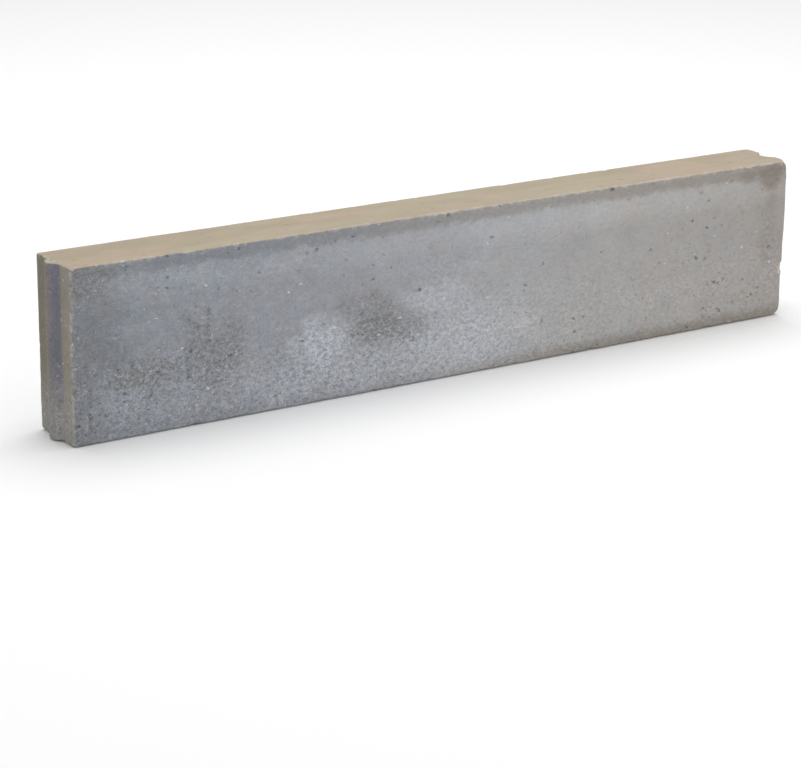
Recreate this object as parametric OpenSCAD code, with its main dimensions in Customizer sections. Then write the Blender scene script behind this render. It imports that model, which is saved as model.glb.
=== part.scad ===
// Precast concrete kerb stone with a tongue on one end and a groove on the other.
// Millimetres, +Z up. The stone stands on its narrow edge, with its length along X and
// its front face towards -Y. The tongue points to -X and the groove opens to +X.
// The origin is the bottom centre of the whole stone, tongue included.

/* [Body] */
// Laying length, from the land of one end to the land of the other
laying_length = 1000; // [300:10:1500]
// Height of the stone as it stands
height = 200; // [120:5:400]
// Thickness, from the front face to the back face
thickness = 80; // [60:1:150]

/* [Tongue and groove] */
// Width of the tongue where it leaves the end
tongue_width = 26; // [20:1:34]
// Distance that the tongue stands out from the end
tongue_out = 8; // [4:0.5:10]
// Size of the flare where the tongue meets the end
root_flare = 1; // [0.5:0.5:3]
// Gap all round the tongue when two stones are butted together
joint_gap = 1.5; // [0.5:0.5:3]
// Size of the flare at the groove's mouth
mouth_flare = 2; // [0.5:0.5:3]

/* [Edges] */
// Radius of the two long top edges
top_round = 3; // [1:0.5:8]
// Radius of the two long bottom edges
bottom_round = 4; // [1:0.5:8]
// Radius of the four upright edges
end_round = 3; // [1:0.5:6]
// Length of the slope worn off the front corner of the groove end
wear_along = 7; // [1:1:40]
// Share of the lip in front of the groove that the worn slope takes
wear_share = 0.8; // [0.1:0.05:0.9]

/* [Hidden] */
$fn = 96;

// How far one shape runs into the next, or past a face that it cuts
overlap = 1;

// The tongue is a slice of a round bar: its radius follows from its width and its height.
tongue_r = (pow(tongue_width / 2, 2) + pow(tongue_out, 2)) / (2 * tongue_out);
// The bar's axis lies this far behind the joint plane.
axis_back = tongue_r - tongue_out;
// The groove has the same axis once two stones meet, and is wider by the gap.
groove_r = tongue_r + joint_gap;

// The groove's mouth is widest at the end, where its edges flare.
mouth_half = half_width(groove_r, 0) + mouth_flare;
wear_across = wear_share * (thickness / 2 - mouth_half);

overall_length = laying_length + tongue_out;
groove_end_x = overall_length / 2;
tongue_end_x = groove_end_x - laying_length;

// A rectangle centred on the origin, with its four corners rounded.
module rounded_rect(size_x, size_y, r) {
    square([size_x - 2 * r, size_y], center = true);
    square([size_x, size_y - 2 * r], center = true);
    for (sx = [-1, 1], sy = [-1, 1])
        translate([sx * (size_x / 2 - r), sy * (size_y / 2 - r)])
            circle(r);
}

// Half the width of a round bar of radius bar_r at x. Its axis is at x = axis_back.
function half_width(bar_r, x) = sqrt(pow(bar_r, 2) - pow(x - axis_back, 2));

// The straight flare of size s between a round bar and a flat end at x = 0.
module flare(bar_r, s) {
    inner = half_width(bar_r, -s);
    outer = half_width(bar_r, 0) + s;
    polygon([
        [-s, -inner],
        [0, -outer],
        [overlap, -outer],
        [overlap, outer],
        [0, outer],
        [-s, inner],
    ]);
}

// Plan of the tongue, pointing to -X from an end at x = 0.
module tongue_plan() {
    intersection() {
        translate([axis_back, 0])
            circle(tongue_r);
        translate([-2 * tongue_out, -tongue_width])
            square([2 * tongue_out + overlap, 2 * tongue_width]);
    }
    flare(tongue_r, root_flare);
}

// Plan of the groove, cut into an end at x = 0 whose stone lies on the -X side.
module groove_plan() {
    translate([axis_back, 0])
        circle(groove_r);
    flare(groove_r, mouth_flare);
}

// Plan of what has worn off the front corner of the groove end, at x = 0 and y = 0.
module wear_plan() {
    polygon([
        [-wear_along, -overlap],
        [-wear_along, 0],
        [0, wear_across],
        [overlap, wear_across],
        [overlap, -overlap],
    ]);
}

// The stone seen from above.
module stone_plan() {
    difference() {
        union() {
            translate([(groove_end_x + tongue_end_x) / 2, 0])
                rounded_rect(laying_length, thickness, end_round);
            translate([tongue_end_x, 0])
                tongue_plan();
        }
        translate([groove_end_x, 0])
            groove_plan();
        translate([groove_end_x, -thickness / 2])
            wear_plan();
    }
}

// Cross-section of the stone in the YZ plane, drawn with Z along the second axis.
module stone_section() {
    translate([-thickness / 2 + bottom_round, 0])
        square([thickness - 2 * bottom_round, bottom_round]);
    translate([-thickness / 2, bottom_round])
        square([thickness, height - top_round - bottom_round]);
    translate([-thickness / 2 + top_round, height - top_round])
        square([thickness - 2 * top_round, top_round]);
    for (side = [-1, 1]) {
        translate([side * (thickness / 2 - bottom_round), bottom_round])
            circle(bottom_round);
        translate([side * (thickness / 2 - top_round), height - top_round])
            circle(top_round);
    }
}

module kerb_stone() {
    color([0.55, 0.56, 0.58])
        intersection() {
            translate([0, 0, -overlap])
                linear_extrude(height + 2 * overlap)
                    stone_plan();
            translate([-overall_length / 2 - overlap, 0, 0])
                rotate([90, 0, 90])
                    linear_extrude(overall_length + 2 * overlap)
                        stone_section();
        }
}

kerb_stone();
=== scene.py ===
import math
from types import SimpleNamespace
import bpy
import numpy as np
from mathutils import Matrix, Vector


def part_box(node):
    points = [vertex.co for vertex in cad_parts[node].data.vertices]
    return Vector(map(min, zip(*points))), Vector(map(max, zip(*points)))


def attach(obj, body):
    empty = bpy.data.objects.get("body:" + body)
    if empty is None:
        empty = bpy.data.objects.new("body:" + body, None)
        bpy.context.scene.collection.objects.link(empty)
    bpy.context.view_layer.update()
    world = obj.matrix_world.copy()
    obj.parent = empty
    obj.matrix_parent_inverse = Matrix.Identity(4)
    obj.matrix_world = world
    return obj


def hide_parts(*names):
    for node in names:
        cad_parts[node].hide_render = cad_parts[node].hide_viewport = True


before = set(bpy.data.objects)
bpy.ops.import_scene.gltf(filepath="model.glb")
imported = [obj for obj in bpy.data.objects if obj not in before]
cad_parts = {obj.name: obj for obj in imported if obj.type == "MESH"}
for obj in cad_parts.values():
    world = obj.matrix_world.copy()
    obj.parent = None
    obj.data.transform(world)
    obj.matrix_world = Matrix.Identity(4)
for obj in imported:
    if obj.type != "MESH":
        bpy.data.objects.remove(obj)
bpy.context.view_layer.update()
boxLow, boxHigh = (np.array(corner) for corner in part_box("kerb_stone"))
print("frame loaded, stone", np.round(boxHigh - boxLow, 4), "m")


# Camera: where it stands, in metres, and how it is turned, in degrees
cameraSetup = {
    "place": (-1.7209, -2.4884, 0.9393),
    "turn": -33.9,      # away from straight along +Y
    "tilt": 17.6,       # down from level
    "roll": 0.72,
    "lens": 120.5,      # mm
}

cameraData = bpy.data.cameras.new("kerbCamera")
cameraData.sensor_width = 36
cameraData.lens = cameraSetup["lens"]
camera = bpy.data.objects.new("kerbCamera", cameraData)
bpy.context.scene.collection.objects.link(camera)
camera.matrix_world = (
    Matrix.Translation(cameraSetup["place"])
    @ Matrix.Rotation(math.radians(cameraSetup["turn"]), 4, "Z")
    @ Matrix.Rotation(math.radians(90 - cameraSetup["tilt"]), 4, "X")
    @ Matrix.Rotation(math.radians(cameraSetup["roll"]), 4, "Z")
)
bpy.context.scene.camera = camera
print("camera placed")


# Shape of the stone, in metres
stone = {
    "step": 0.0029,             # spacing of the surface lines
    "fineStep": 0.001,          # spacing beside an arris or a tongue flank
    "fineReach": 0.006,
    "topRound": 0.0028,
    "bottomRound": 0.004,
    "arrisUnevenness": 0.30,    # share of the radius
    "arrisReach": 0.0035,       # how far from an arris its wear shows
    "tongueWidth": 0.026,
    "tongueOut": 0.008,
    "jointGap": 0.0015,
    "rootSoftness": 0.0012,
    "endSpread": 0.030,         # how deep the lines bend to follow the tongue or groove
    "deeperBelow": 0.060,       # height where the far corner's wear starts to deepen
    "deeperOver": 0.008,
    "slopeSoilDepth": 0.003,    # a knocked corner is palest where this much is gone
    "slopePaleness": 0.35,
    "waviness": 0.0003,
    "coarseness": 0.00035,
    # sizes of the noise cells for each kind of unevenness
    "arrisCell": 0.022,
    "slopeCell": 0.012,
    "chipCell": 0.0075,
    "waveCell": 0.045,
    "coarseCell": 0.007,
    "nibbles": 110,             # small chips along the arrises
    "nibbleShares": (0.74, 0.08, 0.18),     # of arrises along X, Y and Z
    "nibbleSize": (0.0025, 0.007),
    "nibbleBite": (0.0003, 0.0012),
    "nibbleStretch": (0.8, 2.2),            # along the arris
    "nibblePaleness": 0.5,
    "chipRaggedness": 0.45,     # share of a chip's size
    "slopeRaggedness": 0.0012,
    "pits": 300,                # air holes left in the faces
    "pitSize": (0.0020, 0.0034),
    "pitDepth": (0.0003, 0.0011),
    # corners knocked or worn away: a point on the slope, its outward direction, how soft its
    # edges are, and how much deeper the slope gets at the foot of the stone
    "knockedCorners": [
        {"at": (0.5060, -0.040, 0.100), "out": (0.92, -0.38, 0.04), "soft": 0.0020, "deeper": 0.0058},
        {"at": (0.4985, -0.040, 0.004), "out": (0.60, -0.40, -0.69), "soft": 0.0030, "deeper": 0},
        {"at": (0.4950, -0.040, 0.1990), "out": (0.58, -0.45, 0.68), "soft": 0.0015, "deeper": 0},
        {"at": (-0.4958, 0.038, 0.0), "out": (-0.55, 0.40, -0.73), "soft": 0.0020, "deeper": 0},
        {"at": (0.5020, 0.0365, 0.2), "out": (0.74, 0.66, 0.10), "soft": 0.0025, "deeper": 0},
    ],
    # larger chips: centre, half sizes along X, Y and Z
    "bigChips": [
        {"at": (0.5045, -0.0435, 0.0610), "size": (0.0150, 0.0085, 0.0080)},
        {"at": (-0.4990, -0.0440, 0.016), "size": (0.006, 0.006, 0.010)},
        {"at": (-0.430, -0.0430, 0.2025), "size": (0.012, 0.006, 0.005)},
        {"at": (0.120, 0.0425, 0.2015), "size": (0.014, 0.006, 0.005)},
        {"at": (-0.260, 0.0430, -0.001), "size": (0.020, 0.007, 0.007)},
        {"at": (0.300, -0.0440, -0.002), "size": (0.018, 0.006, 0.006)},
    ],
}


# Random numbers sit on a cubic lattice, and each point blends the eight round it with the
# smooth weights t*t*(3-2t). The result lies between -1 and 1.
def latticeNoise(points, cell, seed):
    tableSize = 61
    table = np.random.default_rng(seed).uniform(-1, 1, [tableSize] * 3)
    place = points / cell
    base = np.floor(place).astype(int)
    part = place - base
    part = part * part * (3 - 2 * part)
    total = np.zeros(len(points))
    for corner in np.ndindex(2, 2, 2):
        weight = np.where(np.array(corner, bool), part, 1 - part).prod(axis=1)
        i, j, k = ((base + corner) % tableSize).T
        total += weight * table[i, j, k]
    return total


# Sum of lattice noises, each with half the cell and half the height of the one before.
def layeredNoise(points, cell, seed, layers=3):
    total = sum(latticeNoise(points, cell / 2**n, seed + n) / 2**n for n in range(layers))
    return total / (2 - 2.0 ** (1 - layers))


# Places along a line. Spacing = step - (step - fineStep) * exp(-(gap / reach)^2), where gap is
# the distance to the nearest spot; the line is cut where the sum of 1 / spacing is whole.
def stations(start, end, spots, step):
    line = np.linspace(start, end, 8001)
    gap = np.abs(line[:, None] - np.array(spots)).min(axis=1)
    closeness = np.exp(-((gap / stone["fineReach"]) ** 2))
    spacing = step - (step - stone["fineStep"]) * closeness
    count = np.concatenate([[0], np.cumsum(np.diff(line) / spacing[1:])])
    return np.interp(np.linspace(0, count[-1], round(count[-1]) + 1), count, line)


# The skin of a block: six grids over one lattice, sharing the points of its edges, with every
# four-sided face wound to look outwards.
def blockSkin(xs, ys, zs):
    counts = (len(xs), len(ys), len(zs))
    faces = []
    for axis in range(3):
        across, up = (axis + 1) % 3, (axis + 2) % 3
        for end in (0, 1):
            index = [None, None, None]
            index[across], index[up] = np.meshgrid(
                np.arange(counts[across]), np.arange(counts[up]), indexing="ij")
            index[axis] = np.full_like(index[up], end * (counts[axis] - 1))
            number = (index[0] * counts[1] + index[1]) * counts[2] + index[2]
            ring = [number[:-1, :-1], number[1:, :-1], number[1:, 1:], number[:-1, 1:]]
            faces.append(np.stack(ring[:: 1 if end else -1], axis=-1).reshape(-1, 4))
    used, faces = np.unique(np.concatenate(faces), return_inverse=True)
    points = np.column_stack([
        xs[used // (counts[1] * counts[2])],
        ys[used // counts[2] % counts[1]],
        zs[used % counts[2]],
    ])
    return points, faces.reshape(-1, 4)


# A rounded block: each point is pulled to its radius from the nearest point of a core that is
# smaller than the block by that radius. The way from core to point is the outward direction.
def roundArrises(points, low, high, radius):
    core = np.clip(points, low + radius[:, None], high - radius[:, None])
    reach = points - core
    outward = reach / np.linalg.norm(reach, axis=1)[:, None]
    return core + radius[:, None] * outward, outward


# Height over the end of a slice of a round bar: sqrt(r^2 - y^2) less how far its axis lies
# back, eased into zero by (h + sqrt(h^2 + s^2)) / 2.
def barSlice(y, radius, axisBack):
    height = np.sqrt(np.maximum(radius**2 - y**2, 0)) - axisBack
    return (height + np.sqrt(height**2 + stone["rootSoftness"] ** 2)) / 2


# Moves what lies past a sloping plane back onto it. The distance d past the plane is eased by
# (d + sqrt(d^2 + s^2)) / 2, so the slope's edges come out round.
def knockOff(points, corner, unevenness):
    out = np.array(corner["out"]) / np.linalg.norm(corner["out"])
    footward = np.clip((stone["deeperBelow"] - points[:, 2]) / stone["deeperOver"], 0, 1)
    past = (points - corner["at"]) @ out + corner["deeper"] * footward + unevenness
    eased = (past + np.sqrt(past**2 + corner["soft"] ** 2)) / 2
    reach = np.clip(1 + past / (4 * corner["soft"]), 0, 1)
    paleness = np.clip(past / stone["slopeSoilDepth"], 0, stone["slopePaleness"])
    return points - np.outer(eased * reach, out), paleness


# Pushes what lies inside an egg-shaped hollow out to its wall: the vector from the centre, in
# half sizes, is stretched to the wall's own length, which is one more or less unevenness.
def scoop(points, centre, halfSizes, wall):
    reach = (points - centre) / halfSizes
    length = np.linalg.norm(reach, axis=1)
    inside = np.flatnonzero(length < wall)
    stretch = wall[inside] / np.maximum(length[inside], 0.05)
    moved = points.copy()
    moved[inside] = centre + stretch[:, None] * reach[inside] * halfSizes
    return moved, inside


# Small chips: a place along each of the twelve arrises by chance, with the hollow's centre held
# off the arris so that it bites only a little way in.
def arrisNibbles(low, high, chance):
    count = stone["nibbles"]
    axis = chance.choice(3, count, p=stone["nibbleShares"])
    centre = np.where(chance.random((count, 3)) < 0.5, low, high)
    outward = np.sign(centre - (low + high) / 2)
    rows = np.arange(count)
    outward[rows, axis] = 0
    centre[rows, axis] = low[axis] + chance.random(count) * (high - low)[axis]
    size = chance.uniform(*stone["nibbleSize"], count)
    bite = chance.uniform(*stone["nibbleBite"], count)
    inset = 0.41 * stone["topRound"]        # how far a round arris lies inside the sharp one
    held = size - bite - inset
    centre += outward / math.sqrt(2) * held[:, None]
    halfSizes = np.repeat(size[:, None], 3, axis=1)
    halfSizes[rows, axis] *= chance.uniform(*stone["nibbleStretch"], count)
    return centre, halfSizes


# Knocks the corners off, then cuts the small chips and the large ones. Also gives each point's
# share of bare, broken concrete.
def damageStone(points, low, high, chance):
    broken = np.zeros(len(points))
    ragged = layeredNoise(points, stone["slopeCell"], 11) * stone["slopeRaggedness"]
    wall = 1 + layeredNoise(points, stone["chipCell"], 17) * stone["chipRaggedness"]
    for corner in stone["knockedCorners"]:
        points, share = knockOff(points, corner, ragged)
        broken = np.maximum(broken, share)
    centres, halfSizes = arrisNibbles(low, high, chance)
    for centre, size in zip(centres, halfSizes):
        points, inside = scoop(points, centre, size, wall)
        broken[inside] = np.maximum(broken[inside], stone["nibblePaleness"])
    for chip in stone["bigChips"]:
        points, inside = scoop(points, np.array(chip["at"]), np.array(chip["size"]), wall)
        broken[inside] = 1
    return points, broken


# Air pits, fewer towards the top: bell-shaped dents, d * exp(-(gap / r)^2).
def dentPits(points, outward, top, chance):
    spots = points[chance.integers(0, len(points), stone["pits"])]
    keep = chance.random(len(spots)) < 1.1 - spots[:, 2] / top * 0.75
    spots = spots[keep]
    sizes = chance.uniform(*stone["pitSize"], len(spots))
    depths = chance.uniform(*stone["pitDepth"], len(spots))
    pitted = np.zeros(len(points))
    for spot, size, depth in zip(spots, sizes, depths):
        near = np.flatnonzero(np.abs(points - spot).max(axis=1) < 3 * size)
        dent = depth * np.exp(-((points[near] - spot) ** 2).sum(axis=1) / size**2)
        points[near] -= outward[near] * dent[:, None]
        pitted[near] = np.maximum(pitted[near], dent / 0.001)
    return points, np.clip(pitted, 0, 1)


# The whole stone: a rounded block, bent into the tongue and the groove at its ends, damaged,
# then roughened along the outward direction.
def shapeStone():
    low = boxLow + (stone["tongueOut"], 0, 0)
    high = boxHigh
    half = stone["tongueWidth"] / 2
    xs = stations(low[0], high[0], (low[0], high[0]), stone["step"])
    ys = stations(low[1], high[1], (low[1], -half, half, high[1]), stone["step"] * 1.5)
    zs = stations(low[2], high[2], (low[2], high[2]), stone["step"])
    points, faces = blockSkin(xs, ys, zs)

    # arris radius: from bottom to top, and uneven along the stone
    upward = (points[:, 2] - low[2]) / (high[2] - low[2])
    radius = stone["bottomRound"] + (stone["topRound"] - stone["bottomRound"]) * upward
    radius *= 1 + stone["arrisUnevenness"] * layeredNoise(points, stone["arrisCell"], 3)
    gaps = np.sort(np.minimum(points - low, high - points), axis=1)
    points, outward = roundArrises(points, low, high, radius)

    # tongue and groove, on one axis
    tongueRadius = (half**2 + stone["tongueOut"] ** 2) / (2 * stone["tongueOut"])
    axisBack = tongueRadius - stone["tongueOut"]
    tongue = barSlice(points[:, 1], tongueRadius, axisBack)
    groove = barSlice(points[:, 1], tongueRadius + stone["jointGap"], axisBack)
    nearTongue = np.clip(1 - (points[:, 0] - low[0]) / stone["endSpread"], 0, 1)
    nearGroove = np.clip(1 - (high[0] - points[:, 0]) / stone["endSpread"], 0, 1)
    points[:, 0] -= tongue * nearTongue + groove * nearGroove

    chance = np.random.default_rng(21)
    points, broken = damageStone(points, low, high, chance)

    # wavy faces, and a coarser skin towards the foot of the front and back
    lower = np.clip(1.25 - upward * 1.5, 0.25, 1)
    wave = (1 + layeredNoise(points, stone["waveCell"], 31)) * stone["waviness"]
    coarse = (1 + layeredNoise(points, stone["coarseCell"], 41, 2)) * stone["coarseness"] * lower
    coarse *= 1 - 0.6 * np.clip(outward[:, 2], 0, 1)
    points -= outward * (wave + coarse)[:, None]

    points, pitted = dentPits(points, outward, high[2], chance)
    points = np.clip(points, boxLow, boxHigh)
    marks = {
        "topSide": np.clip(outward[:, 2], 0, 1),
        "endSide": np.abs(outward[:, 0]),
        "arris": np.exp(-((gaps[:, 1] / stone["arrisReach"]) ** 2)),
        "broken": broken,
        "pitted": pitted,
    }
    return points, faces, marks


# One mesh of four-sided faces, with each mark as a number for every point.
def meshFromArrays(name, points, faces, marks):
    mesh = bpy.data.meshes.new(name)
    mesh.vertices.add(len(points))
    mesh.vertices.foreach_set("co", points.astype(np.float32).ravel())
    mesh.loops.add(faces.size)
    mesh.loops.foreach_set("vertex_index", faces.astype(np.int32).ravel())
    mesh.polygons.add(len(faces))
    mesh.polygons.foreach_set("loop_start", np.arange(0, faces.size, 4, dtype=np.int32))
    mesh.polygons.foreach_set("use_smooth", np.ones(len(faces), bool))
    mesh.update(calc_edges=True)
    for mark, values in marks.items():
        mesh.attributes.new(mark, "FLOAT", "POINT").data.foreach_set(
            "value", values.astype(np.float32))
    mesh.validate()
    piece = bpy.data.objects.new(name, mesh)
    bpy.context.scene.collection.objects.link(piece)
    return piece


kerbPiece = meshFromArrays("castKerbStone", *shapeStone())
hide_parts("kerb_stone")
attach(kerbPiece, "root")
print("stone shaped:", len(kerbPiece.data.polygons) * 2, "triangles")


# Concrete: one material, mixed from the weathered front, the top, whose warm tan is painted light
# from above, and the ends
concrete = {
    # colours of the front and back from the tongue end to the groove end, by place along X
    "faceTones": [
        (-0.490, (0.205, 0.214, 0.232)),
        (-0.440, (0.262, 0.278, 0.303)),
        (-0.300, (0.272, 0.283, 0.309)),
        (-0.100, (0.305, 0.311, 0.331)),
        (0.060, (0.356, 0.359, 0.370)),
        (0.240, (0.362, 0.353, 0.346)),
        (0.420, (0.348, 0.332, 0.318)),
        (0.490, (0.325, 0.302, 0.284)),
    ],
    # colours of the ends from the front land, over the tongue or groove, to the back land; the dark
    # bluish stops beside the tongue's front flank are painted shade in its root
    "endTones": [
        (-0.040, (0.262, 0.245, 0.212)),
        (-0.0185, (0.248, 0.228, 0.190)),
        (-0.0160, (0.176, 0.180, 0.204)),
        (-0.0095, (0.166, 0.164, 0.190)),
        (-0.0045, (0.186, 0.178, 0.184)),
        (0.000, (0.202, 0.187, 0.172)),
        (0.012, (0.210, 0.192, 0.164)),
        (0.026, (0.192, 0.173, 0.136)),
    ],
    "endFoot": (0.310, 0.304, 0.294),
    "grooveGrey": (0.212, 0.202, 0.184),
    # top colours: their warmth is painted light falling from above
    "topTan": (0.368, 0.314, 0.234),
    "topPeach": (0.404, 0.326, 0.248),
    "topYellow": (0.386, 0.338, 0.250),
    "topFringe": (0.452, 0.415, 0.348),
    "stainBrown": (0.170, 0.166, 0.158),
    "bandBrown": (0.220, 0.190, 0.158),
    "bandBlue": (0.150, 0.165, 0.180),
    "bloomWhite": (0.520, 0.545, 0.600),
    "paleCement": (0.560, 0.530, 0.480),
    "chalk": (0.620, 0.600, 0.570),
    # pitDark: dark of the sand specks, and the painted shade inside air pits
    "pitDark": (0.070, 0.066, 0.066),
    "roughness": 0.92,
    "specular": 0.25,
    "reliefDepth": 0.0010,
    # how strongly each kind of mark shows
    "bandStrength": 0.52,
    "arrisPaleness": 0.38,
    "chipPaleness": 0.75,
    "paleSpeckStrength": 0.48,
    "darkSpeckStrength": 0.55,
    "chalkStrength": 0.85,
    "pitShadeStrength": 0.72,
    # sizes of the patterns, in metres
    "cloudCell": 0.110,
    "mottleCell": 0.026,
    "grainCell": 0.0044,
    "sandCell": 0.0021,
    # spots: size of a cell, share of cells without a spot, and largest radius in cells
    "paleSpecks": (0.0042, 0.62, 0.40),
    "darkSpecks": (0.0040, 0.62, 0.34),
    "chalkDots": (0.0105, 0.50, 0.17),
    "smallPits": (0.0088, 0.40, 0.30),
    "closePits": (0.0056, 0.05, 0.46),
    "rarePits": (0.0240, 0.55, 0.095),
    # soft patches on the front: centre along X and Z, half sizes, and strength
    "darkPatches": [
        (-0.106, 0.080, 0.036, 0.026, 0.78),
        (-0.070, 0.072, 0.030, 0.018, 0.52),
        (-0.128, 0.106, 0.034, 0.016, 0.50),
        (-0.325, 0.080, 0.034, 0.036, 0.60),
        (-0.408, 0.070, 0.042, 0.017, 0.66),
        (-0.440, 0.080, 0.018, 0.018, 0.30),
        (0.474, 0.100, 0.012, 0.030, 0.30),
        (-0.482, 0.186, 0.036, 0.024, 0.64),
        (-0.494, 0.100, 0.008, 0.090, 0.30),
    ],
    "smoothStains": [
        (0.474, 0.184, 0.022, 0.016, 0.75),
        (0.440, 0.186, 0.016, 0.008, 0.45),
        (0.478, 0.150, 0.010, 0.012, 0.30),
    ],
    "palePatches": [
        (-0.180, 0.068, 0.036, 0.026, 1.00),
        (-0.020, 0.100, 0.045, 0.024, 0.75),
        (0.000, 0.045, 0.090, 0.035, 0.70),
        (-0.150, 0.032, 0.100, 0.026, 0.62),
        (0.200, 0.176, 0.140, 0.010, 0.15),
        (0.094, 0.050, 0.018, 0.005, 0.90),
        (-0.010, 0.134, 0.050, 0.012, 0.30),
    ],
    "pittedPatches": [
        (-0.470, 0.018, 0.030, 0.020, 1.00),
        (-0.418, 0.054, 0.024, 0.012, 1.00),
        (-0.395, 0.068, 0.020, 0.008, 0.80),
        (-0.335, 0.125, 0.016, 0.012, 0.70),
        (0.290, 0.046, 0.014, 0.014, 1.00),
        (0.365, 0.092, 0.014, 0.010, 1.00),
        (0.400, 0.030, 0.034, 0.012, 0.90),
        (0.392, 0.062, 0.016, 0.008, 0.90),
        (0.455, 0.036, 0.018, 0.012, 0.80),
    ],
}


# Adds nodes to one tree. A value that is a socket is linked, and any other is typed in.
class nodeDesk:
    def __init__(self, tree):
        self.tree = tree

    def put(self, value, socket):
        if isinstance(value, bpy.types.NodeSocket):
            self.tree.links.new(value, socket)
        else:
            socket.default_value = value

    def add(self, kind, values=None, **settings):
        made = self.tree.nodes.new("ShaderNode" + kind)
        for name, value in settings.items():
            setattr(made, name, value)
        for name, value in (values or {}).items():
            self.put(value, made.inputs[name])
        return made

    def math(self, operation, a, b=0.0, c=0.0):
        return self.add("Math", {0: a, 1: b, 2: c}, operation=operation).outputs[0]

    def vector(self, operation, a, b):
        return self.add("VectorMath", {0: a, 1: b}, operation=operation).outputs["Vector"]

    # Mix of two colours; a typed-in colour gets its fourth number here.
    def blend(self, share, a, b, how="MIX"):
        made = self.add("Mix", {0: share}, data_type="RGBA", blend_type=how)
        for slot, value in ((6, a), (7, b)):
            isLinked = isinstance(value, bpy.types.NodeSocket)
            self.put(value if isLinked else (*value, 1), made.inputs[slot])
        return made.outputs[2]

    # Colour times a grey value.
    def shade(self, colour, value):
        grey = self.add("CombineColor", {0: value, 1: value, 2: value}).outputs[0]
        return self.blend(1.0, colour, grey, "MULTIPLY")

    # Eases from toLow to toHigh as the value goes from low to high.
    def range(self, value, low, high, toLow=0.0, toHigh=1.0):
        values = {0: value, 1: low, 2: high, 3: toLow, 4: toHigh}
        return self.add("MapRange", values, interpolation_type="SMOOTHSTEP").outputs[0]

    def noise(self, place, cell, detail=3.0, rough=0.5):
        values = {"Vector": place, "Scale": 1 / cell, "Detail": detail, "Roughness": rough}
        return self.add("TexNoise", values).outputs[0]

    def mark(self, name):
        return self.add("Attribute", attribute_name=name).outputs["Fac"]

    # Colours by place: the place, from low to high, is stretched to 0-1 for the ramp.
    def ramp(self, place, stops):
        low, high = stops[0][0], stops[-1][0]
        share = self.add("MapRange", {0: place, 1: low, 2: high}).outputs[0]
        made = self.add("ValToRGB", {0: share})
        marks = made.color_ramp.elements
        while len(marks) < len(stops):
            marks.new(1.0)
        for colourMark, (spot, colour) in zip(marks, stops):
            colourMark.position = (spot - low) / (high - low)
            colourMark.color = (*colour, 1)
        return made.outputs[0]


# Round spots in some of the cells of a Voronoi pattern: distance to the cell's point, divided
# by a radius that grows with the cell's own random number above a threshold.
def speckMask(desk, place, spots):
    cell, rarity, largest = spots
    cells = desk.add("TexVoronoi", {"Vector": place, "Scale": 1 / cell})
    chance = desk.add("SeparateColor", {0: cells.outputs["Color"]}).outputs[0]
    radius = desk.range(chance, rarity, 1.0, 0.001, largest)
    away = desk.math("DIVIDE", cells.outputs["Distance"], radius)
    return desk.range(away, 1.0, 0.45)


# The strongest of several soft ellipses. Distance from a centre, in half sizes, with ragged
# added, falls from one inside to zero outside.
def patchMask(desk, at, patches, ragged, fade):
    strongest = 0.0
    for x, z, halfX, halfZ, strength in patches:
        right = desk.math("DIVIDE", desk.math("SUBTRACT", at.faceX, x), halfX)
        above = desk.math("DIVIDE", desk.math("SUBTRACT", at.z, z), halfZ)
        square = desk.math("MULTIPLY_ADD", right, right, desk.math("MULTIPLY", above, above))
        away = desk.math("ADD", desk.math("SQRT", square), ragged)
        share = desk.range(away, 1.0 + fade, 1.0 - fade, 0.0, strength)
        strongest = desk.math("MAXIMUM", strongest, share)
    return strongest


# Places and noises that the whole material shares.
def sharedPatterns(desk):
    place = desk.add("TexCoord").outputs["Object"]
    x, y, z = desk.add("SeparateXYZ", {0: place}).outputs
    drawn = desk.vector("MULTIPLY", place, (0.7, 1.0, 1.0))     # grain drawn out along X
    wobble = desk.add("TexNoise", {"Vector": place, "Scale": 420.0, "Detail": 1.0}).outputs["Color"]
    wobble = desk.vector("SUBTRACT", wobble, (0.5, 0.5, 0.5))
    wobble = desk.vector("MULTIPLY", wobble, (0.006, 0.0036, 0.0036))
    facing = desk.math("MULTIPLY_ADD", desk.math("LESS_THAN", y, 0.0), 2.0, -1.0)
    return SimpleNamespace(
        place=place, x=x, y=y, z=z, drawn=drawn,
        streaky=desk.vector("MULTIPLY", place, (0.22, 1.0, 1.0)),
        bent=desk.vector("ADD", drawn, wobble),         # so that specks and pits aren't round
        clouds=desk.noise(place, concrete["cloudCell"], 4.0, 0.55),
        mottle=desk.noise(place, concrete["mottleCell"], 4.0, 0.62),
        grain=desk.noise(drawn, concrete["grainCell"], 3.0, 0.72),
        sand=desk.noise(place, concrete["sandCell"], 2.0, 0.65),
        ragged=desk.math("MULTIPLY_ADD", desk.noise(place, 0.022, 5.0, 0.62), 2.4, -1.2),
        foot=desk.range(z, 0.125, 0.040),               # one at the foot of the stone
        left=desk.range(x, -0.05, -0.42),               # one at the tongue end
        faceX=desk.math("MULTIPLY", x, facing),         # the back's patches lie mirrored
        faceShare=desk.math("MULTIPLY_ADD", facing, 0.25, 0.75),    # and are half as strong
    )


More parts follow.
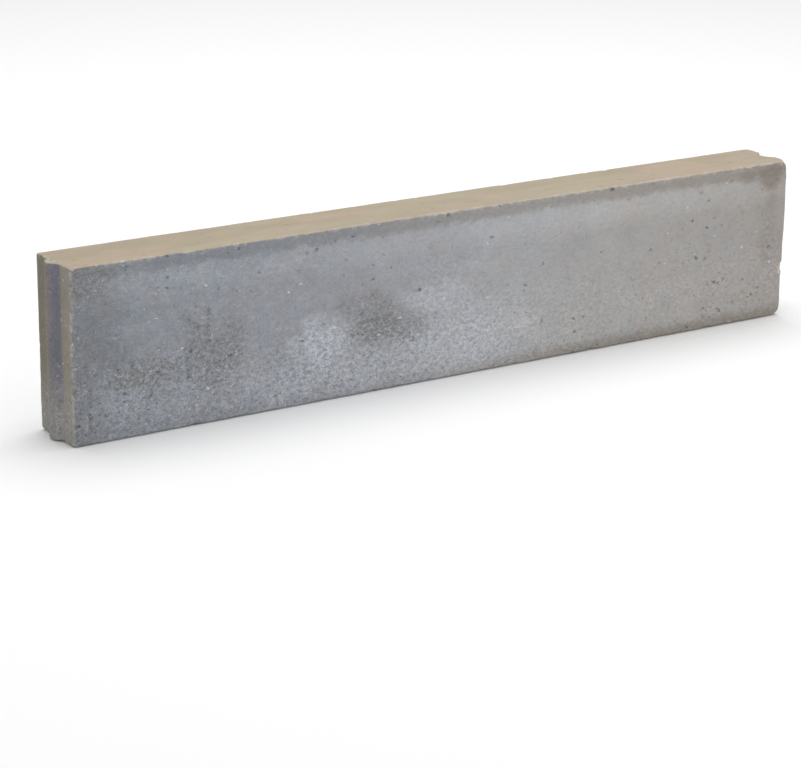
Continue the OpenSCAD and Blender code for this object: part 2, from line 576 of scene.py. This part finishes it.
# Front and back: cool at the tongue end and warm at the groove end, with warm and cool tints.
def plainSide(desk, at):
    along = desk.math("MULTIPLY_ADD", at.clouds, 0.16, desk.math("ADD", at.x, -0.08))
    side = desk.ramp(along, concrete["faceTones"])
    shade = desk.math("MULTIPLY_ADD", at.clouds, 0.18, 0.78)
    shade = desk.math("MULTIPLY_ADD", at.mottle, 0.26, shade)
    shade = desk.math("MULTIPLY_ADD", desk.range(at.z, 0.140, 0.168), 0.12, shade)
    shade = desk.math("MULTIPLY_ADD", at.foot, 0.07, shade)
    side = desk.shade(side, shade)

    elsewhere = desk.vector("ADD", at.place, (3.1, 1.7, 0.6))
    hue = desk.math("SUBTRACT", desk.noise(elsewhere, 0.030, 6.0, 0.75), 0.5)
    warm = desk.math("MULTIPLY_ADD", hue, 0.20, 1.0)
    cool = desk.math("MULTIPLY_ADD", hue, -0.16, 1.0)
    tint = desk.add("CombineColor", {0: warm, 1: 1.0, 2: cool}).outputs[0]
    side = desk.blend(1.0, side, tint, "MULTIPLY")
    blotch = desk.math("SUBTRACT", desk.noise(at.place, 0.012, 2.0, 0.6), 0.5)
    blotchShare = desk.math("MULTIPLY_ADD", at.left, 0.34, 0.12)
    return desk.shade(side, desk.math("MULTIPLY_ADD", blotch, blotchShare, 1.0))


# Darker bands below the top arris and along the foot, bluish at the tongue end.
def addBands(desk, at, side):
    edge = desk.math("MULTIPLY_ADD", desk.noise(at.place, 0.014, 4.0, 0.65), 0.022, -0.011)
    height = desk.math("ADD", at.z, edge)
    upper = desk.math("MULTIPLY", desk.range(height, 0.179, 0.189), concrete["bandStrength"])
    lower = desk.range(at.x, -0.10, 0.25, 0.12, 0.60)
    lower = desk.math("MULTIPLY", desk.range(height, 0.020, 0.005), lower)
    tone = desk.blend(desk.range(at.x, -0.35, 0.15), concrete["bandBlue"], concrete["bandBrown"])
    return desk.blend(desk.math("MAXIMUM", upper, lower), side, tone)


# Bloom and stains broken up by the grain, then the smooth stains. Also gives the stain's share.
def addPatches(desk, at, side):
    bloom = patchMask(desk, at, concrete["palePatches"], at.ragged, 0.60)
    bloom = desk.math("MULTIPLY", bloom, at.faceShare)
    bloom = desk.math("MULTIPLY", bloom, desk.range(at.grain, 0.38, 0.60, 0.22, 0.62))
    side = desk.blend(bloom, side, concrete["bloomWhite"])
    stain = patchMask(desk, at, concrete["darkPatches"], at.ragged, 0.45)
    stain = desk.math("MULTIPLY", stain, at.faceShare)
    stainGrain = desk.math("MULTIPLY", stain, desk.range(at.grain, 0.64, 0.40, 0.36, 0.86))
    side = desk.blend(stainGrain, side, concrete["stainBrown"])
    softEdge = desk.math("MULTIPLY", at.ragged, 0.7)
    smooth = patchMask(desk, at, concrete["smoothStains"], softEdge, 0.45)
    smooth = desk.math("MULTIPLY", smooth, at.faceShare)
    return desk.blend(smooth, side, concrete["bandBrown"]), stain


# Top: tan, its warmth painted light falling from above, with peach and yellow patches, streaked along
# the stone, and a pale fringe.
def warmLitTop(desk, at):
    streaks = desk.noise(at.streaky, 0.016, 4.0, 0.6)
    top = desk.blend(desk.range(at.clouds, 0.44, 0.56), concrete["topTan"], concrete["topPeach"])
    yellow = desk.range(desk.noise(at.streaky, 0.035, 3.0), 0.45, 0.65)
    top = desk.blend(yellow, top, concrete["topYellow"])
    top = desk.shade(top, desk.math("MULTIPLY_ADD", streaks, 0.22, 0.89))
    fringe = desk.noise(at.place, 0.007, 3.0, 0.6)
    fringe = desk.math("MULTIPLY_ADD", fringe, 0.012, desk.math("ABSOLUTE", at.y))
    fringeShare = desk.range(at.x, -0.15, -0.45, 0.42, 0.10)
    fringe = desk.math("MULTIPLY", desk.range(fringe, 0.0405, 0.0450), fringeShare)
    return desk.blend(fringe, top, concrete["topFringe"])


# Ends: tan lands, painted bluish shade in the root in front of the tongue, plainer at the groove,
# paler at the foot.
def endColour(desk, at):
    across = desk.math("ADD", at.y, desk.math("MULTIPLY_ADD", at.mottle, 0.006, -0.003))
    ends = desk.ramp(across, concrete["endTones"])
    grooveShare = desk.range(at.x, -0.1, 0.1, 0.0, 0.7)
    ends = desk.blend(grooveShare, ends, concrete["grooveGrey"])
    height = desk.math("MULTIPLY_ADD", at.mottle, 0.04, at.z)
    footShare = desk.range(height, 0.110, 0.030, 0.0, 0.65)
    # towards the bottom, the root's painted shade eases to the pale foot colour
    rootGap = desk.math("ABSOLUTE", desk.math("ADD", at.y, 0.0115))
    rootShare = desk.range(at.z, 0.095, 0.020, 0.0, 0.92)
    rootShare = desk.math("MULTIPLY", desk.range(rootGap, 0.0065, 0.0030), rootShare)
    ends = desk.blend(desk.math("MAXIMUM", footShare, rootShare), ends, concrete["endFoot"])
    return desk.shade(ends, desk.math("MULTIPLY_ADD", at.mottle, 0.36, 0.82))


# Worn arrises and chips show pale cement, less so at the foot.
def addWear(desk, at, colour, broken):
    patchy = desk.range(desk.noise(at.place, 0.007, 3.0), 0.42, 0.62)
    wornArris = desk.math("MULTIPLY", desk.mark("arris"), patchy)
    wornArris = desk.math("MULTIPLY", wornArris, concrete["arrisPaleness"])
    chips = desk.math("MULTIPLY", broken, concrete["chipPaleness"])
    bare = desk.math("MAXIMUM", wornArris, chips)
    bare = desk.math("MULTIPLY", bare, desk.range(at.z, 0.015, 0.050, 0.3, 1.0))
    return desk.blend(bare, colour, concrete["paleCement"])


# Grain, then pale and dark specks of sand, each as strong as rough says, and dots of chalk.
def addGrain(desk, at, colour, rough, calm):
    fineShare = desk.math("MULTIPLY", rough, desk.range(at.x, 0.05, 0.30, 1.0, 0.62))
    tone = desk.math("MULTIPLY_ADD", desk.math("SUBTRACT", at.grain, 0.5), rough, 1.0)
    tone = desk.math("MULTIPLY_ADD", desk.math("SUBTRACT", at.sand, 0.5), fineShare, tone)
    colour = desk.shade(colour, tone)
    paleShare = desk.math("MULTIPLY", speckMask(desk, at.bent, concrete["paleSpecks"]), rough)
    paleShare = desk.math("MULTIPLY", paleShare, concrete["paleSpeckStrength"])
    colour = desk.blend(paleShare, colour, concrete["bloomWhite"])
    darkShare = desk.math("MULTIPLY", speckMask(desk, at.drawn, concrete["darkSpecks"]), rough)
    darkShare = desk.math("MULTIPLY", darkShare, concrete["darkSpeckStrength"])
    colour = desk.blend(darkShare, colour, concrete["pitDark"])
    chalkShare = desk.math("MULTIPLY", speckMask(desk, at.bent, concrete["chalkDots"]), calm)
    chalkShare = desk.math("MULTIPLY", chalkShare, concrete["chalkStrength"])
    return desk.blend(chalkShare, colour, concrete["chalk"])


# Air pits, darkened as painted shade in their hollows: clusters by chance, the pitted patches, a few
# alone and the mesh's own.
def shadedPitMask(desk, at, endShare, calm):
    cluster = desk.range(desk.noise(at.place, 0.060, 3.0, 0.6), 0.44, 0.62, 0.26, 1.00)
    smallPits = desk.math("MULTIPLY", speckMask(desk, at.bent, concrete["smallPits"]), cluster)
    endPits = desk.math("MULTIPLY", endShare, desk.range(at.z, 0.060, 0.030, 0.0, 0.5))
    pitted = patchMask(desk, at, concrete["pittedPatches"], at.ragged, 0.5)
    pitted = desk.math("MAXIMUM", pitted, endPits)
    closePits = desk.math("MULTIPLY", speckMask(desk, at.bent, concrete["closePits"]), pitted)
    pits = desk.math("MAXIMUM", smallPits, closePits)
    pits = desk.math("MAXIMUM", pits, speckMask(desk, at.bent, concrete["rarePits"]))
    pits = desk.math("MULTIPLY", pits, calm)
    return desk.math("MAXIMUM", pits, desk.math("MULTIPLY", desk.mark("pitted"), 0.30))


# The whole material: side, ends and top joined, then wear, grain, specks, pits and relief.
def makeConcrete():
    material = bpy.data.materials.new("castConcrete")
    material.use_nodes = True
    desk = nodeDesk(material.node_tree)
    at = sharedPatterns(desk)
    side = addBands(desk, at, plainSide(desk, at))
    side, stain = addPatches(desk, at, side)

    # join side, ends and top, with a ragged line along the arrises
    nibble = desk.math("MULTIPLY_ADD", desk.noise(at.drawn, 0.007, 5.0, 0.70), 1.1, -0.55)
    topShare = desk.range(desk.math("ADD", desk.mark("topSide"), nibble), 0.45, 0.75)
    endShare = desk.range(desk.math("ADD", desk.mark("endSide"), nibble), 0.45, 0.75)
    colour = desk.blend(endShare, side, endColour(desk, at))
    # the top's warm colour, picked by which way a face looks, is painted light from above
    colour = desk.blend(topShare, colour, warmLitTop(desk, at))
    broken = desk.mark("broken")
    colour = addWear(desk, at, colour, broken)

    # grain is strong towards the foot, weaker on the ends and faint on top
    calm = desk.math("MULTIPLY_ADD", topShare, -0.72, 1.0)
    calm = desk.math("MULTIPLY", calm, desk.math("MULTIPLY_ADD", endShare, -0.35, 1.0))
    rough = desk.math("MULTIPLY", at.foot, desk.range(at.x, 0.22, -0.05, 0.40, 0.60))
    rough = desk.math("ADD", rough, desk.math("MULTIPLY_ADD", at.left, 0.26, 0.36))
    rough = desk.math("MULTIPLY_ADD", stain, 0.5, rough)
    rough = desk.math("MULTIPLY_ADD", broken, 0.6, rough)
    rough = desk.math("MULTIPLY", rough, calm)
    colour = addGrain(desk, at, colour, rough, calm)
    shadedPits = shadedPitMask(desk, at, endShare, calm)
    # darkening the pits with pitDark is painted shade in their hollows
    pitShadeShare = desk.math("MULTIPLY", shadedPits, concrete["pitShadeStrength"])
    colour = desk.blend(pitShadeShare, colour, concrete["pitDark"])

    # relief too fine for the mesh
    relief = desk.math("MULTIPLY", at.grain, desk.math("MULTIPLY_ADD", at.foot, 0.7, 0.4))
    relief = desk.math("MULTIPLY_ADD", at.sand, 0.35, relief)
    relief = desk.math("MULTIPLY_ADD", shadedPits, -0.9, relief)
    bump = desk.add("Bump", {"Strength": 0.6, "Distance": concrete["reliefDepth"], "Height": relief})
    shader = material.node_tree.nodes["Principled BSDF"]
    desk.put(colour, shader.inputs["Base Color"])
    desk.put(bump.outputs[0], shader.inputs["Normal"])
    shader.inputs["Roughness"].default_value = concrete["roughness"]
    shader.inputs["Specular IOR Level"].default_value = concrete["specular"]
    return material


kerbPiece.data.materials.append(makeConcrete())
print("concrete mixed")


# Studio: pale floor, even surroundings and two soft lamps
studio = {
    "floorHalf": 14.0,
    "floorColour": (0.90, 0.90, 0.90),
    "surroundings": 0.74,
    "lamps": [
        {"name": "overhead", "at": (0.5, 0.6, 3.2), "size": 3.0, "watts": 56},
        {"name": "frontFill", "at": (0.9, -3.4, 1.5), "size": 2.4, "watts": 16},
    ],
    "aim": (0, 0, 0.1),
}


# One flat square with a plain pale material.
def layFloor():
    reach = studio["floorHalf"]
    mesh = bpy.data.meshes.new("studioFloor")
    corners = [(-reach, -reach, 0), (reach, -reach, 0), (reach, reach, 0), (-reach, reach, 0)]
    mesh.from_pydata(corners, [], [(0, 1, 2, 3)])
    floor = bpy.data.objects.new("studioFloor", mesh)
    bpy.context.scene.collection.objects.link(floor)
    material = bpy.data.materials.new("paleFloor")
    material.use_nodes = True
    shader = material.node_tree.nodes["Principled BSDF"]
    shader.inputs["Base Color"].default_value = (*studio["floorColour"], 1)
    shader.inputs["Roughness"].default_value = 1.0
    shader.inputs["Specular IOR Level"].default_value = 0.0
    mesh.materials.append(material)


# A round area lamp, turned from its place towards the aim.
def hangLamp(lamp):
    data = bpy.data.lights.new(lamp["name"], "AREA")
    data.shape = "DISK"
    data.size = lamp["size"]
    data.energy = lamp["watts"]
    light = bpy.data.objects.new(lamp["name"], data)
    light.location = lamp["at"]
    towards = Vector(studio["aim"]) - light.location
    light.rotation_mode = "QUATERNION"
    light.rotation_quaternion = towards.to_track_quat("-Z", "Y")
    bpy.context.scene.collection.objects.link(light)


layFloor()
for lamp in studio["lamps"]:
    hangLamp(lamp)
world = bpy.data.worlds.new("studioSurroundings")
world.use_nodes = True
background = world.node_tree.nodes["Background"]
background.inputs["Color"].default_value = (1, 1, 1, 1)
background.inputs["Strength"].default_value = studio["surroundings"]
bpy.context.scene.world = world
bpy.context.scene.view_settings.view_transform = "Standard"
print("studio lit")
